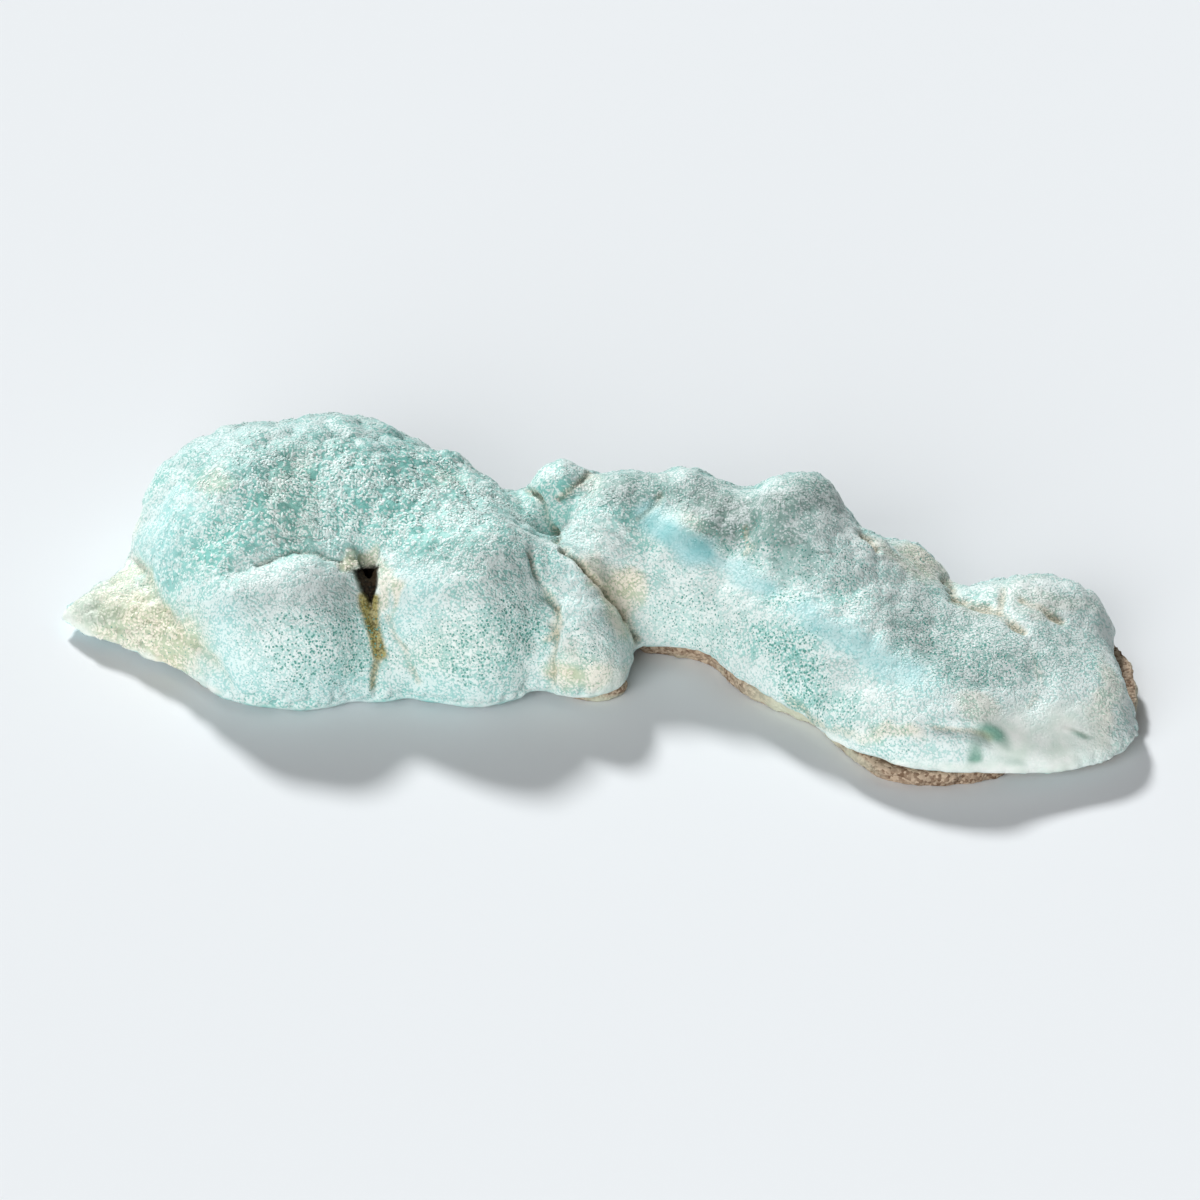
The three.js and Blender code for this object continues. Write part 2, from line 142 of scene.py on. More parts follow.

# Where each zone lies, as ellipses in the photo: the middle and the half sizes in pixels, the turn in
# degrees, clockwise, and how fully the zone's colours take over there.
# The grey patches on the tops and on the back of the ridge are grey tone and in part painted shade.
ZONE_PATCHES = [
    ("teal", (360, 480), (150, 56), 0, 0.8),
    ("teal", (245, 535), (74, 38), -10, 1.0),
    ("teal", (560, 500), (30, 16), 0, 0.6),
    ("teal", (622, 500), (40, 26), 0, 0.9),
    ("deep", (622, 496), (44, 26), 0, 0.6),
    ("teal", (700, 500), (50, 16), 20, 0.6),
    ("teal", (800, 475), (50, 20), 0, 0.6),
    ("teal", (345, 655), (70, 40), 0, 0.3),
    ("teal", (490, 640), (60, 44), 0, 0.3),
    ("cyan", (165, 545), (32, 80), 8, 1.0),
    ("teal", (205, 560), (46, 56), 8, 0.6),
    ("cyan", (215, 640), (60, 56), 30, 1.0),
    ("cyan", (290, 690), (100, 26), 0, 0.8),
    ("blue", (235, 440), (115, 24), -14, 0.35),
    ("blue", (350, 428), (70, 15), 8, 0.3),
    ("teal", (360, 432), (90, 20), 8, 0.6),
    ("teal", (250, 452), (120, 30), -14, 0.8),
    ("grey", (265, 448), (120, 30), -14, 0.3),
    ("cyan", (408, 592), (32, 52), 12, 0.9),
    ("cyan", (450, 688), (80, 16), 0, 0.6),
    ("cyan", (585, 600), (24, 46), -22, 0.7),
    ("white", (690, 612), (62, 50), 20, 0.9),
    ("white", (780, 664), (90, 40), 36, 0.2),
    ("white", (868, 712), (60, 26), 20, 0.8),
    ("white", (600, 640), (34, 34), 0, 0.6),
    ("teal", (790, 668), (84, 30), 36, 0.6),
    ("white", (612, 570), (24, 40), -24, 0.8),
    ("white", (300, 650), (60, 40), 0, 0.5),
    ("white", (480, 620), (70, 60), 0, 0.4),
    ("white", (590, 620), (30, 50), -20, 0.5),
    ("grey", (740, 512), (84, 38), 22, 1.0),
    ("grey", (630, 492), (40, 18), 6, 0.5),
    ("grey", (960, 640), (80, 40), 28, 0.55),
    ("grey", (1040, 640), (60, 50), 0, 0.35),
    ("grey", (300, 596), (72, 24), 2, 0.3),
    ("grey", (470, 558), (52, 20), 8, 0.35),
    ("grey", (650, 488), (60, 18), 0, 0.5),
    ("grey", (820, 495), (50, 30), 20, 0.9),
    ("grey", (915, 560), (56, 26), 12, 0.4),
    ("grey", (1050, 590), (70, 26), 8, 0.55),
    ("cream", (128, 632), (84, 56), 20, 1.0),
    ("cream", (140, 640), (60, 40), 20, 0.5),
    ("cream", (132, 586), (24, 28), 20, 0.8),
    ("cream", (350, 555), (26, 12), 0, 0.8),
    ("cream", (384, 590), (8, 28), 4, 0.8),
    ("cream", (885, 734), (42, 13), 24, 0.8),
    ("cream", (214, 478), (26, 14), -40, 0.4),
    ("cream", (600, 676), (34, 16), 0, 0.6),
    ("cream", (616, 598), (18, 42), -28, 1.0),
    ("cream", (915, 556), (50, 28), 12, 0.6),
    ("cream", (1052, 596), (60, 18), 10, 0.2),
    ("cream", (562, 678), (22, 14), 10, 0.9),
    ("olive", (818, 706), (38, 9), 36, 0.4),
    ("cream", (1112, 706), (18, 44), 0, 0.5),
    ("mint", (80, 622), (22, 20), 0, 0.5),
    ("mint", (1050, 745), (70, 40), 0, 1.0),
    ("green", (110, 606), (30, 20), -10, 0.35),
    ("teal", (785, 600), (22, 10), 30, 0.8),
    ("green", (992, 737), (18, 10), 20, 1.0),
    ("green", (976, 757), (10, 15), 0, 1.0),
    ("green", (1012, 765), (12, 10), 0, 0.3),
    ("green", (1078, 734), (10, 3), 30, 0.7),
]
# A patch smaller than this, in pixels, keeps its place well.
SMALL_PATCH = 24
# Zones with a smooth, glassy surface, and how smooth it is.
ZONE_SMOOTHNESS = {"cyan": 0.15, "blue": 0.8, "mint": 1.0, "green": 0.8}

# Where coarse flakes stand closely, where the crust is a fine sponge with dark teal pores, and where it
# is lumpy, in the same form.
COARSE_PATCHES = [
    ((350, 490), (190, 62), 4, 1.0),
    ((240, 540), (70, 40), -20, 0.8),
    ((590, 510), (50, 40), 0, 0.8),
    ((350, 555), (50, 16), 0, 0.9),
    ((140, 636), (70, 44), 20, 1.0),
    ((165, 560), (34, 70), 8, 0.7),
    ((700, 505), (60, 20), 20, 0.6),
    ((765, 530), (80, 40), 26, 0.5),
    ((562, 678), (22, 14), 10, 1.0),
]
PORE_PATCHES = [
    ((328, 650), (84, 56), 0, 1.0),
    ((486, 635), (76, 56), 0, 1.0),
    ((700, 615), (72, 54), 20, 0.8),
    ((745, 545), (76, 34), 24, 0.9),
    ((135, 628), (60, 34), 20, 0.6),
    ((820, 575), (100, 40), 34, 0.8),
    ((960, 650), (84, 44), 20, 1.0),
    ((1030, 660), (66, 40), 0, 0.8),
    ((800, 490), (50, 24), 0, 0.8),
    ((915, 560), (40, 20), 0, 0.8),
    ((420, 640), (30, 50), 0, 0.7),
    ((590, 640), (40, 46), 0, 0.7),
    ((800, 670), (84, 36), 36, 1.0),
    ((785, 598), (22, 12), 30, 1.0),
]
LUMPY_PATCHES = [
    ((760, 530), (110, 44), 24, 0.5),
    ((860, 590), (110, 50), 34, 0.45),
    ((300, 436), (170, 24), 0, 0.9),
    ((170, 480), (40, 50), -40, 0.8),
    ((480, 480), (70, 30), 24, 0.6),
    ((130, 620), (90, 60), 20, 0.8),
    ((560, 640), (60, 60), 0, 0.4),
]

# Where two lobes run into each other without a crease, in the same form.
SOFTENED_PATCHES = [
    ((652, 506), (24, 26), 0, 1.0),
    ((905, 590), (40, 24), 30, 0.7),
    ((1045, 705), (60, 36), 0, 1.0),
    ((515, 600), (22, 40), 0, 0.5),
]
SOFTENING_STEPS = 240

# Zones that follow a line in the photo: the line, half its width in pixels and its strength. They are the
# bright blue crest of the right lobe, the glassy lower edges, and the stains at the pit and the creases.
ZONE_LINES = [
    ("blue", [(654, 514), (670, 532), (700, 552)], 18, 1.0),
    ("blue", [(700, 554), (740, 574), (772, 590)], 10, 0.6),
    ("cyan", [(806, 612), (850, 640), (925, 688)], 22, 0.9),
    ("blue", [(812, 618), (850, 640), (910, 676)], 13, 0.5),
    ("mint", [(60, 622), (85, 640), (120, 655), (160, 672), (212, 690)], 10, 0.95),
    ("mint", [(736, 694), (800, 732), (866, 770)], 11, 0.9),
    ("mint", [(900, 766), (980, 772), (1060, 778)], 8, 0.8),
    ("mint", [(556, 704), (600, 702), (636, 676)], 8, 0.8),
    ("teal", [(240, 704), (330, 712), (430, 704)], 9, 0.6),
    ("olive", [(371, 602), (377, 626), (381, 654)], 8, 1.8),
    ("olive", [(381, 648), (375, 690)], 5, 1.0),
    ("olive", [(744, 558), (752, 545), (748, 530)], 4, 0.4),
    ("ochre", [(553, 606), (556, 622), (551, 640)], 5, 0.5),
    ("cream", [(345, 566), (352, 553), (372, 553), (384, 570), (384, 606)], 6, 0.7),
]

# Seams of the crust as they run in the photo: half the width and the depth in millimetres, how strongly
# iron stains them ochre, and how much shade is painted into the seam itself.
SEAMS = [
    ("crack between the lobes",
     [(523, 483), (543, 505), (553, 530), (562, 548), (586, 567), (616, 602), (632, 625), (638, 642)],
     0.9, 1.7, 0.4, 0.65),
    ("below the pit", [(371, 610), (375, 631), (379, 651), (375, 673), (375, 692)], 1.3, 0.8, 0.1, 0.3),
    ("beside the middle bulge", [(386, 618), (397, 640), (409, 660), (418, 682)], 1.6, 0.5, 0.3, 0.1),
    ("above the left bulge",
     [(258, 564), (267, 561), (278, 554), (296, 549), (316, 551), (338, 560), (352, 570)],
     1.3, 0.8, 0.0, 0.45),
    ("left of the right bulge",
     [(531, 552), (537, 575), (547, 592), (558, 607), (553, 625), (552, 642), (550, 690)],
     1.3, 1.1, 0.3, 0.25),
    ("behind the head", [(559, 497), (571, 489), (589, 474), (598, 468)], 0.9, 0.5, 0.35, 0.3),
    ("across the head", [(638, 520), (651, 510), (661, 495)], 0.8, 0.4, 0.4, 0.2),
    ("apron", [(134, 559), (149, 590), (171, 620), (192, 641), (214, 663), (231, 692)], 2.0, 1.2, 0.1, 0.1),
    ("over the middle bulge", [(440, 556), (474, 566), (500, 566), (522, 572)], 3.0, 0.4, 0.0, 0.0),
    ("under the high knob", [(853, 509), (864, 528), (878, 548)], 1.6, 1.5, 0.6, 0.5),
    ("behind the right end", [(948, 581), (954, 595), (966, 600), (995, 610), (1023, 630)],
     1.6, 1.2, 0.6, 0.5),
    ("between the right knobs", [(1003, 588), (999, 610)], 1.2, 0.9, 0.5, 0.4),
    ("right shelf", [(1023, 600), (1048, 612), (1062, 622)], 1.4, 0.7, 0.6, 0.3),
    ("right valley", [(1031, 651), (1040, 673), (1040, 685), (1030, 705)], 4.0, 0.5, 0.15, 0.05),
    ("foot of the ridge", [(926, 724), (945, 727), (970, 730), (992, 738)], 2.4, 0.7, 0.3, 0.15),
    ("crease in the foot", [(1064, 728), (1074, 731), (1086, 738)], 1.0, 0.15, 0.0, 0.2),
]
STAIN_HALF_WIDTH = 1.1 * MM
SHADE_HALF_WIDTH = 0.6 * MM

# The dark pit in the left lobe: its corners in the photo, clockwise, and how deep it goes.
PIT_CORNERS = [(348, 569), (380, 567), (374, 590), (370, 613), (362, 592)]
PIT_DEPTH = 6 * MM

# Where calcite coats the side of the host rock and makes it pale, as patches in the photo.
COATED_ROCK = [
    ((810, 735), (80, 22), 40, 1.0),
    ((700, 672), (26, 12), 25, 0.5),
    ((1130, 700), (18, 70), 0, 0.6),
    ((300, 712), (240, 16), 0, 0.7),
    ((605, 708), (40, 16), 0, 1.0),
]

# Pieces of the flakes: each covers one part of the specimen, from one x to the next.
FLAKE_PIECES = [
    ("flakes_left", -0.110, -0.048),
    ("flakes_middle", -0.048, 0.006),
    ("flakes_ridge", 0.006, 0.050),
    ("flakes_right_end", 0.050, 0.110),
]


class CrustSettings(bpy.types.PropertyGroup):
    """Sizes and colours of the crust's skin."""
    mesh_step: FloatProperty(
        name="Mesh step", description="Spacing of the skin's mesh", default=0.52 * MM, unit="LENGTH")
    lump_height: FloatProperty(
        name="Lump height", description="Height of the lumps, 5 mm apart", default=1.3 * MM, unit="LENGTH")
    wart_height: FloatProperty(
        name="Wart height", description="Height of the warts, 2.6 mm apart", default=0.6 * MM,
        unit="LENGTH")
    granule_height: FloatProperty(
        name="Granule height", description="Height of the granules, 1.3 mm apart", default=0.24 * MM,
        unit="LENGTH")
    ragged_height: FloatProperty(
        name="Ragged edge", description="Height of the bumps on the lower edge, 2.1 mm apart",
        default=1.2 * MM, unit="LENGTH")
    pore_colour: FloatVectorProperty(
        name="Pore colour", description="Dark teal of the open pores", default=linear("#5DA499"),
        subtype="COLOR", min=0, max=1)
    roughness: FloatProperty(
        name="Roughness", description="Of the crystal skin", default=0.55, min=0, max=1)


class FlakeSettings(bpy.types.PropertyGroup):
    """Sizes of the small crystal flakes that stand on the skin."""
    spacing: FloatProperty(
        name="Spacing", description="Least distance between two flakes", default=0.46 * MM, unit="LENGTH")
    length: FloatProperty(
        name="Half length", description="Half the length of a flake", default=0.46 * MM, unit="LENGTH")
    seed: IntProperty(name="Seed", description="Seed of the flakes' places", default=7)


class RockSettings(bpy.types.PropertyGroup):
    """Sizes and colours of the host rock."""
    mesh_step: FloatProperty(
        name="Mesh step", description="Spacing of the rock's mesh", default=0.6 * MM, unit="LENGTH")
    roughness_height: FloatProperty(
        name="Break height", description="Height of the broken relief", default=1.1 * MM, unit="LENGTH")
    grain_size: FloatProperty(
        name="Grain size", description="Size of the sand grains in the rock", default=0.55 * MM,
        unit="LENGTH")
    light_colour: FloatVectorProperty(
        name="Light grains", description="Colour of the pale grains", default=linear("#C6B19A"),
        subtype="COLOR", min=0, max=1)
    dark_colour: FloatVectorProperty(
        name="Dark grains", description="Colour of the iron-stained matrix", default=linear("#7A624E"),
        subtype="COLOR", min=0, max=1)
    coat_colour: FloatVectorProperty(
        name="Coat", description="Colour of the calcite coat on the rock's side",
        default=linear("#D3D6C0"), subtype="COLOR", min=0, max=1)


class StageSettings(bpy.types.PropertyGroup):
    """Floor and lights."""
    floor_colour: FloatVectorProperty(
        name="Floor", description="Colour of the floor", default=linear("#E9EDF0"), subtype="COLOR",
        min=0, max=1)
    back_light: FloatProperty(name="Back light", description="From behind, at the left", default=1.15)
    front_light: FloatProperty(name="Front light", description="Broad, from the front", default=0.73)
    ambient: FloatProperty(name="Ambient", description="Light from all sides", default=0.12)


def deselect_all():
    bpy.ops.object.select_all(action="DESELECT")


def make_active(piece):
    deselect_all()
    piece.select_set(True)
    bpy.context.view_layer.objects.active = piece


def apply_modifier(piece, kind, **settings):
    """Adds a modifier with these settings to a piece and applies it."""
    make_active(piece)
    modifier = piece.modifiers.new(kind.title(), kind)
    for name, value in settings.items():
        setattr(modifier, name, value)
    bpy.ops.object.modifier_apply(modifier=modifier.name)


def merged_copy(node, name):
    """A new piece with the form of a CAD node, its loose triangles merged."""
    piece = bpy.data.objects.new(name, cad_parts[node].data.copy())
    piece.data.name = name
    piece.data.materials.clear()
    bpy.context.scene.collection.objects.link(piece)
    make_active(piece)
    bpy.ops.object.mode_set(mode="EDIT")
    bpy.ops.mesh.select_all(action="SELECT")
    bpy.ops.mesh.remove_doubles(threshold=0.001 * MM)
    bpy.ops.object.mode_set(mode="OBJECT")
    return piece


def points_of(piece):
    points = np.empty(len(piece.data.vertices) * 3)
    piece.data.vertices.foreach_get("co", points)
    return points.reshape(-1, 3)


def normals_of(piece):
    normals = np.empty(len(piece.data.vertices) * 3)
    piece.data.vertex_normals.foreach_get("vector", normals)
    return normals.reshape(-1, 3)


def move_points(piece, points):
    piece.data.vertices.foreach_set("co", points.ravel())
    piece.data.update()


def store(piece, name, values):
    """Keeps a number, or a linear colour, for each vertex under a name."""
    kind = "FLOAT" if values.ndim == 1 else "FLOAT_COLOR"
    attribute = piece.data.attributes.new(name, kind, "POINT")
    if kind == "FLOAT":
        attribute.data.foreach_set("value", values.astype(np.float32))
    else:
        opaque = np.concatenate([values, np.ones((len(values), 1))], axis=1)
        attribute.data.foreach_set("color", opaque.ravel().astype(np.float32))


def random_at(cells, channel):
    """A repeatable number from 0 to 1 for each whole-number cell."""
    x, y, z = (cells[:, axis].astype(np.uint32) for axis in range(3))
    mixed = x * np.uint32(73856093) ^ y * np.uint32(19349663) ^ z * np.uint32(83492791)
    mixed ^= np.uint32((channel + 1) * 2654435761 % 2 ** 32)
    for shift in (16, 13, 16):
        mixed = (mixed ^ (mixed >> np.uint32(shift))) * np.uint32(0x45D9F3B)
    return (mixed >> np.uint32(8)) / 2 ** 24


def soft_noise(points, size, channel=0):
    """Smooth noise from 0 to 1 that changes over size. Each channel is a pattern of its own."""
    scaled = points / size
    cell = np.floor(scaled).astype(np.int64)
    share = scaled - cell
    share = share * share * (3 - 2 * share)
    total = np.zeros(len(points))
    for corner in np.ndindex(2, 2, 2):
        weight = np.prod(np.where(corner, share, 1 - share), axis=1)
        total += weight * random_at(cell + corner, channel)
    return total


def packed_bumps(points, spacing, channel=0):
    """Closely packed round bumps: 1 in the middle of the nearest one, 0 between them."""
    scaled = points / spacing
    cell = np.floor(scaled).astype(np.int64)
    nearest = np.full(len(points), np.inf)
    for step in np.ndindex(3, 3, 3):
        there = cell + step - 1
        middle = there + np.stack([random_at(there, channel + axis) for axis in range(3)], axis=1)
        nearest = np.minimum(nearest, ((middle - scaled) ** 2).sum(axis=1))
    return np.clip(1 - nearest / 0.8, 0, 1)


def ramp(values, low, high):
    """0 below low, 1 above high, and a smooth step between; high may be the lower one."""
    share = np.clip((values - low) / (high - low), 0, 1)
    return share * share * (3 - 2 * share)


def photo_places(points):
    """Where these points of the specimen stand in the photo, in its pixels."""
    from_aim = points - np.array(AIM)
    away = CAMERA_DISTANCE - from_aim @ np.array(TO_CAMERA)
    scale = CAMERA_DISTANCE / away / PIXEL
    across = PHOTO_SIZE / 2 + scale * from_aim[:, 0]
    down = PHOTO_SIZE / 2 - scale * (from_aim @ np.array(UP_IN_PHOTO))
    return np.stack([across, down], axis=1)


def seen_share(normals):
    """1 where a surface faces the photo's camera, falling to 0 where it turns away."""
    return ramp(normals @ np.array(TO_CAMERA), 0.0, 0.3)


def wandering(places, points, amount, size):
    """Places in the photo, shifted by noise so that what is drawn with them has uneven edges."""
    shifts = [soft_noise(points, size, channel) - 0.5 for channel in (21, 22)]
    return places + 2 * amount * np.stack(shifts, axis=1)


def patch(places, middle, half, turn):
    """1 inside an ellipse in the photo, falling softly to 0 at its edge."""
    offset = places - np.array(middle)
    c, s = math.cos(math.radians(turn)), math.sin(math.radians(turn))
    along = (offset[:, 0] * c + offset[:, 1] * s) / half[0]
    across = (offset[:, 1] * c - offset[:, 0] * s) / half[1]
    return ramp(np.hypot(along, across), 1.35, 0.4)


def strongest(places, patches):
    """The strongest of several patches at each place."""
    return np.max([strength * patch(places, middle, half, turn)
                   for middle, half, turn, strength in patches], axis=0)


def inside_corners(places, corners, softness):
    """1 inside a shape with these corners, given clockwise in the photo, and 0 outside it."""
    depth = np.full(len(places), np.inf)
    for start, end in zip(np.array(corners, float), np.array(corners[1:] + corners[:1], float)):
        along = (end - start) / np.hypot(*(end - start))
        depth = np.minimum(depth, (places - start) @ np.array((-along[1], along[0])))
    return ramp(depth, -softness, softness)


def line_distance(places, line):
    """Distance in pixels from places in the photo to a line of straight stretches."""
    nearest = np.full(len(places), np.inf)
    for start, end in zip(np.array(line[:-1], float), np.array(line[1:], float)):
        along = end - start
        share = np.clip(((places - start) @ along) / (along @ along), 0, 1)
        gap = places - start - share[:, None] * along
        nearest = np.minimum(nearest, np.hypot(gap[:, 0], gap[:, 1]))
    return nearest


class Colours:
    """The colour of the flakes and of the ground at each vertex, painted zone by zone."""

    def __init__(self, count):
        self.flake, self.ground = (np.tile(linear(code), (count, 1)) for code in ZONE_COLOURS["pale"])

    def paint(self, zone, share):
        for colours, code in zip((self.flake, self.ground), ZONE_COLOURS[zone]):
            colours += share[:, None] * (np.array(linear(code)) - colours)

    # Painted shade: both colours are darkened by the share.
    def paint_hollow_shade(self, share):
        self.flake *= 1 - share[:, None]
        self.ground *= 1 - share[:, None]


def paint_zones(colours, points, places, near_lines, seen, backward):
    """Paints the crust's colour zones, with painted shade on the sides that turn backwards, and gives how
    smooth each vertex is.
    """
    hidden = 1 - seen
    colours.paint("teal", 0.65 * ramp(soft_noise(points, 9 * MM, 31), 0.5, 0.8))
    colours.paint("cream", 0.4 * ramp(soft_noise(points, 14 * MM, 33), 0.66, 0.86))
    colours.paint("grey", 0.5 * ramp(soft_noise(points, 17 * MM, 35), 0.6, 0.85) * hidden)
    unseen_cyan = 0.7 * ramp(soft_noise(points, 20 * MM, 37), 0.5, 0.75) * hidden
    colours.paint("cyan", unseen_cyan)
    smooth = ZONE_SMOOTHNESS["cyan"] * unseen_cyan
    mottled = 0.75 + 0.25 * ramp(soft_noise(points, 5 * MM, 38), 0.3, 0.7)
    for zone, middle, half, turn, strength in ZONE_PATCHES:
        bounded_by = near_lines if max(half) < SMALL_PATCH else places
        share = strength * seen * mottled * patch(bounded_by, middle, half, turn)
        colours.paint(zone, share)
        smooth = smooth + (ZONE_SMOOTHNESS.get(zone, 0) - smooth) * share
    for zone, line, half_width, strength in ZONE_LINES:
        near_line = ramp(line_distance(near_lines, line) / half_width, 1.4, 0.3)
        share = np.minimum(strength * seen * mottled * near_line, 1)
        colours.paint(zone, share)
        smooth = smooth + (ZONE_SMOOTHNESS.get(zone, 0) - smooth) * share
    # Painted shade: the sides that turn backwards get the darker teal.
    colours.paint("deep", (0.6 + 0.25 * seen) * backward)
    return smooth


def carve_seams(colours, points, places, seen):
    """Gives how deep the seams cut at each vertex, and paints their iron stain and the shade painted into
    them.
    """
    depth = np.zeros(len(points))
    patchy = 0.35 + 0.65 * ramp(soft_noise(points, 3.5 * MM, 41), 0.25, 0.6)
    for _, line, half_width, deep, iron, shade in SEAMS:
        distance = line_distance(places, line) * PIXEL
        depth = np.maximum(depth, deep * MM * seen * patchy * ramp(distance, half_width * MM, 0))
        colours.paint("ochre", iron * seen * patchy * ramp(distance, STAIN_HALF_WIDTH, 0.2 * MM))
        # Painted shade along the middle of each seam.
        colours.paint("shade", shade * seen * patchy * ramp(distance, SHADE_HALF_WIDTH, 0.1 * MM))
    return depth


def soften(piece, shares, steps):
    """Smooths the mesh away from its creases where the shares, one for each vertex, are high."""
    group = piece.vertex_groups.new(name="soften")
    for index in np.nonzero(shares > 0.02)[0].tolist():
        group.add([index], float(shares[index]), "REPLACE")
    apply_modifier(piece, "SMOOTH", factor=0.5, iterations=steps, vertex_group=group.name)
    piece.vertex_groups.clear()


def thin_out(piece, chosen, keep):
    """Thins the mesh where the vertices are chosen, until a share of all faces is left."""
    group = piece.vertex_groups.new(name="thin out")
    group.add(np.nonzero(chosen)[0].tolist(), 1.0, "REPLACE")
    apply_modifier(piece, "DECIMATE", ratio=keep, vertex_group=group.name)
    piece.vertex_groups.clear()


def add_node(tree, kind, inputs=None, **settings):
    """Adds a node, with its settings, and with a value or a link for each input named."""
    node = tree.nodes.new(kind)
    for name, value in settings.items():
        setattr(node, name, value)
    for name, value in (inputs or {}).items():
        if isinstance(value, bpy.types.NodeSocket):
            tree.links.new(value, node.inputs[name])
        else:
            node.inputs[name].default_value = value
    return node


def new_material(name):
    """A material with only an output, and its tree."""
    material = bpy.data.materials.new(name)
    material.use_nodes = True
    material.node_tree.nodes.clear()
    return material, material.node_tree


def pores(tree, position, amount):
    """1 inside the open pores, small ones with larger ones between, where amount is high."""
    wander = add_node(tree, "ShaderNodeTexNoise", {"Vector": position, "Scale": 1 / (0.7 * MM)})
    bent = add_node(tree, "ShaderNodeVectorMath",
                    {0: wander.outputs["Color"], 1: (PORE_BEND,) * 3, 2: position},
                    operation="MULTIPLY_ADD").outputs[0]
    patchy = add_node(tree, "ShaderNodeTexNoise", {"Vector": position, "Scale": 1 / (2.5 * MM)})
    width = add_node(tree, "ShaderNodeMapRange", {
        "Value": patchy.outputs[0], "From Min": 0.3, "From Max": 0.65, "To Min": 0.31, "To Max": 0.42})
    size = add_node(tree, "ShaderNodeMath", {0: amount, 1: width.outputs[0]}, operation="MULTIPLY")
    large = add_node(tree, "ShaderNodeTexVoronoi", {"Vector": bent, "Scale": 1 / LARGE_PORE_SPACING})
    small = add_node(tree, "ShaderNodeTexVoronoi", {"Vector": bent, "Scale": 1 / SMALL_PORE_SPACING})
    far = add_node(tree, "ShaderNodeMath", {0: large.outputs["Distance"], 1: LARGE_PORE_SHRINK},
                   operation="MULTIPLY")
    nearest = add_node(tree, "ShaderNodeMath",
                       {0: far.outputs[0], 1: small.outputs["Distance"]}, operation="MINIMUM")
    inside = add_node(tree, "ShaderNodeMath", {0: size.outputs[0], 1: nearest.outputs[0]},
                      operation="SUBTRACT")
    return add_node(tree, "ShaderNodeMath", {0: inside.outputs[0], 1: 8}, operation="MULTIPLY",
                    use_clamp=True).outputs[0]


def crust_material(settings):
    """Fine-grained aragonite, grown from solution: a matt, slightly waxy skin of pale flake ends under 1 mm
    across, with teal ground and dark pores between them."""
    material, tree = new_material("aragonite_skin")
    place = add_node(tree, "ShaderNodeTexCoord").outputs["Object"]
    flake = add_node(tree, "ShaderNodeAttribute", attribute_name="flake_colour").outputs["Color"]
    ground = add_node(tree, "ShaderNodeAttribute", attribute_name="ground_colour").outputs["Color"]
    porous = add_node(tree, "ShaderNodeAttribute", attribute_name="porous").outputs["Fac"]
    smooth = add_node(tree, "ShaderNodeAttribute", attribute_name="smooth").outputs["Fac"]
    coarse = add_node(tree, "ShaderNodeAttribute", attribute_name="coarse").outputs["Fac"]

    wander = add_node(tree, "ShaderNodeTexNoise", {"Vector": place, "Scale": 1 / (1.2 * MM)})
    shift = add_node(tree, "ShaderNodeVectorMath",
                     {0: wander.outputs["Color"], 1: (CELL_BEND,) * 3, 2: place},
                     operation="MULTIPLY_ADD")
    large = add_node(tree, "ShaderNodeTexVoronoi", {"Vector": shift.outputs[0], "Scale": 1 / COARSE_CELL})
    small = add_node(tree, "ShaderNodeTexVoronoi", {"Vector": shift.outputs[0], "Scale": 1 / FINE_CELL})
    cells = add_node(tree, "ShaderNodeMix",
                     {0: coarse, 2: small.outputs["Distance"], 3: large.outputs["Distance"]})
    fine = add_node(tree, "ShaderNodeTexNoise", {"Vector": place, "Scale": 1 / CELL_GRAIN, "Detail": 2})
    soft = add_node(tree, "ShaderNodeTexNoise", {"Vector": place, "Scale": 1 / CLOUD, "Detail": 3})
    gap = add_node(tree, "ShaderNodeMath", {0: cells.outputs[0], 1: 0.2}, operation="SUBTRACT")
    gap = add_node(tree, "ShaderNodeMath", {0: fine.outputs[0], 1: 0.7, 2: gap.outputs[0]},
                   operation="MULTIPLY_ADD")
    gap = add_node(tree, "ShaderNodeMath", {0: soft.outputs[0], 1: 0.9, 2: gap.outputs[0]},
                   operation="MULTIPLY_ADD")
    gap = add_node(tree, "ShaderNodeMath", {0: coarse, 1: 0.25, 2: gap.outputs[0]},
                   operation="MULTIPLY_ADD")
    gap = add_node(tree, "ShaderNodeMath", {0: porous, 1: 0.15, 2: gap.outputs[0]},
                   operation="MULTIPLY_ADD")
    on_flake = add_node(tree, "ShaderNodeMapRange", {
        "Value": gap.outputs[0], "From Min": 1.41, "From Max": 1.09, "To Min": 0.12, "To Max": 0.95})
    cloudy = add_node(tree, "ShaderNodeMapRange",
                      {"Value": soft.outputs[0], "From Min": 0.3, "From Max": 0.65})
    pale = add_node(tree, "ShaderNodeMix", {0: smooth, 2: on_flake.outputs[0], 3: cloudy.outputs[0]})
    colour = add_node(tree, "ShaderNodeMix", {0: pale.outputs[0], 6: ground, 7: flake}, data_type="RGBA")
    pore = pores(tree, place, porous)
    dark = add_node(tree, "ShaderNodeMix",
                    {0: pore, 6: colour.outputs[2], 7: (*settings.pore_colour, 1)}, data_type="RGBA")

    relief = add_node(tree, "ShaderNodeMath", {0: on_flake.outputs[0], 1: fine.outputs[0]})
    hollow = add_node(tree, "ShaderNodeMath", {0: relief.outputs[0], 1: pore}, operation="SUBTRACT")
    raised = add_node(tree, "ShaderNodeMapRange", {"Value": smooth, "To Min": 0.45, "To Max": 0.08})
    bump = add_node(tree, "ShaderNodeBump", {
        "Height": hollow.outputs[0], "Strength": raised.outputs[0], "Distance": 0.25 * MM})
    gloss = add_node(tree, "ShaderNodeMapRange",
                     {"Value": smooth, "To Min": settings.roughness, "To Max": 0.48})
    surface = add_node(tree, "ShaderNodeBsdfPrincipled", {
        "Base Color": dark.outputs[2], "Roughness": gloss.outputs[0], "IOR": 1.6,
        "Specular IOR Level": 0.35, "Normal": bump.outputs[0]})
    add_node(tree, "ShaderNodeOutputMaterial", {"Surface": surface.outputs[0]})
    return material


